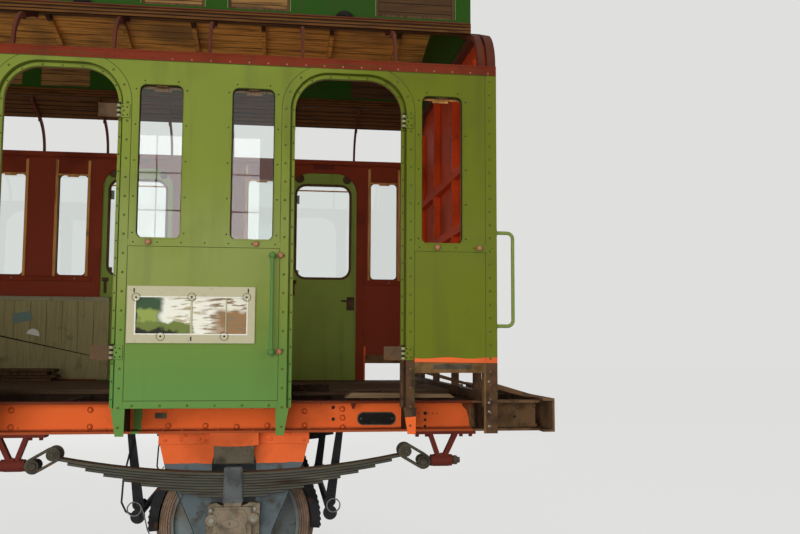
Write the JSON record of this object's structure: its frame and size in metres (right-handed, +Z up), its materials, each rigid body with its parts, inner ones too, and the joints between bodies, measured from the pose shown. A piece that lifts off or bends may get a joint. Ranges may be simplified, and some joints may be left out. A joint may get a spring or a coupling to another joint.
{
  "type": "passenger coach",
  "caption": "Two-axle compartment rail coach stripped for restoration: riveted shell, open doorways, bare roof ribs, clerestory, leaf springs and turning wheelsets.",
  "frame": {"origin": "on the floor under the middle of the coach, at the lowest point of the wheel flanges", "axes": "+X along the coach, +Y towards the side with doors, +Z up"},
  "size_m": [9.22, 3.126, 4.252],
  "materials": {
    "solebar_primer": "matt orange primer with rust",
    "guard_primer": "matt orange primer over grey steel",
    "rusted_steel": "brown rust",
    "dark_steel": "dark rust and dirt",
    "floor_wood": "worn bare boards",
    "stop_block": "greyish brown dirt",
    "box_iron": "oily brown casting",
    "spring_steel": "dirty spring steel",
    "red_primer": "red primer",
    "axle_steel": "rusted axle",
    "wheel_paint": "grey paint with dirt",
    "wheel_tyre": "rusted rolled steel",
    "brake_iron": "black cast iron",
    "brake_black": "black paint and grease",
    "body_green": "satin olive green over riveted steel",
    "clerestory_green": "faded green over riveted steel",
    "cantrail_red": "red-brown primer",
    "window_glass": "clear pane with dust",
    "hinge_brown": "brown hinge iron",
    "inner_primer": "orange-red primer",
    "rib_red": "red-brown primer",
    "sill_brown": "weathered brown timber",
    "roof_wood": "weathered boards",
    "vent_black": "black",
    "sign_cream": "cream enamel",
    "rail_green": "green paint",
    "dado_wood": "grey-brown boards",
    "door_green": "green paint"
  },
  "bodies": {
    "coach": {"axle_boxes": "box_iron", "axle_guards": "guard_primer", "bare_frame": "rusted_steel", "brake_beams": "brake_black", "brake_blocks": "brake_iron", "brake_hangers": "brake_black", "bump_stops": "stop_block", "cantrails": "cantrail_red", "clerestory_carlines": "roof_wood", "clerestory_ends": "clerestory_green", "clerestory_rails": "clerestory_green", "clerestory_roof": "roof_wood", "clerestory_shutters": "roof_wood", "clerestory_sills": "sill_brown", "clerestory_walls": "clerestory_green", "cross_members": "dark_steel", "dado_boards": "dado_wood", "end_braces": "rusted_steel", "end_middle_sheets": "inner_primer", "end_wall_panels": "inner_primer", "end_wall_posts": "inner_primer", "end_wall_rails": "inner_primer", "far_door_frames": "body_green", "far_wall": "body_green", "floor_boards": "floor_wood", "handrail_stubs": "rail_green", "handrails": "rail_green", "headstocks": "rusted_steel", "hinge_leaves": "hinge_brown", "keep_bars": "rusted_steel", "near_door_frames": "body_green", "near_wall": "body_green", "roof_edge_boards": "sill_brown", "roof_ribs": "rib_red", "side_brackets": "dark_steel", "sign_board": "sign_cream", "solebars": "solebar_primer", "spring_brackets": "red_primer", "spring_buckles": "box_iron", "spring_shackles": "spring_steel", "springs": "spring_steel", "stringers": "dark_steel", "ventilators": "vent_black", "window_panes": "window_glass"},
    "left_wheelset": {"left_axle": "axle_steel", "left_wheel_discs": "wheel_paint", "left_tyres": "wheel_tyre"},
    "right_wheelset": {"right_axle": "axle_steel", "right_wheel_discs": "wheel_paint", "right_tyres": "wheel_tyre"},
    "door_1": {"far_door_1": "door_green", "far_door_pane_1": "window_glass"},
    "door_2": {"far_door_2": "door_green", "far_door_pane_2": "window_glass"},
    "door_3": {"far_door_3": "door_green", "far_door_pane_3": "window_glass"},
    "door_4": {"far_door_4": "door_green", "far_door_pane_4": "window_glass"},
    "door_5": {"far_door_5": "door_green", "far_door_pane_5": "window_glass"}
  },
  "joints": [
    {"name": "left_wheelset_spin", "type": "hinge", "parent": "coach", "child": "left_wheelset", "pos_m": [-2.652, 0, 0.503], "axis": [0, 1, 0], "continuous": true},
    {"name": "right_wheelset_spin", "type": "hinge", "parent": "coach", "child": "right_wheelset", "pos_m": [2.652, 0, 0.503], "axis": [0, 1, 0], "continuous": true},
    {"name": "door_1_hinge", "type": "hinge", "parent": "coach", "child": "door_1", "pos_m": [-3.624, 1.511, 2.2], "axis": [0, 0, 1], "range_deg": [0, 100]},
    {"name": "door_2_hinge", "type": "hinge", "parent": "coach", "child": "door_2", "pos_m": [-1.974, 1.511, 2.2], "axis": [0, 0, 1], "range_deg": [0, 100]},
    {"name": "door_3_hinge", "type": "hinge", "parent": "coach", "child": "door_3", "pos_m": [-0.324, 1.511, 2.2], "axis": [0, 0, 1], "range_deg": [0, 100]},
    {"name": "door_4_hinge", "type": "hinge", "parent": "coach", "child": "door_4", "pos_m": [1.326, 1.511, 2.2], "axis": [0, 0, 1], "range_deg": [0, 100]},
    {"name": "door_5_hinge", "type": "hinge", "parent": "coach", "child": "door_5", "pos_m": [2.976, 1.511, 2.2], "axis": [0, 0, 1], "range_deg": [0, 100]}
  ]
}
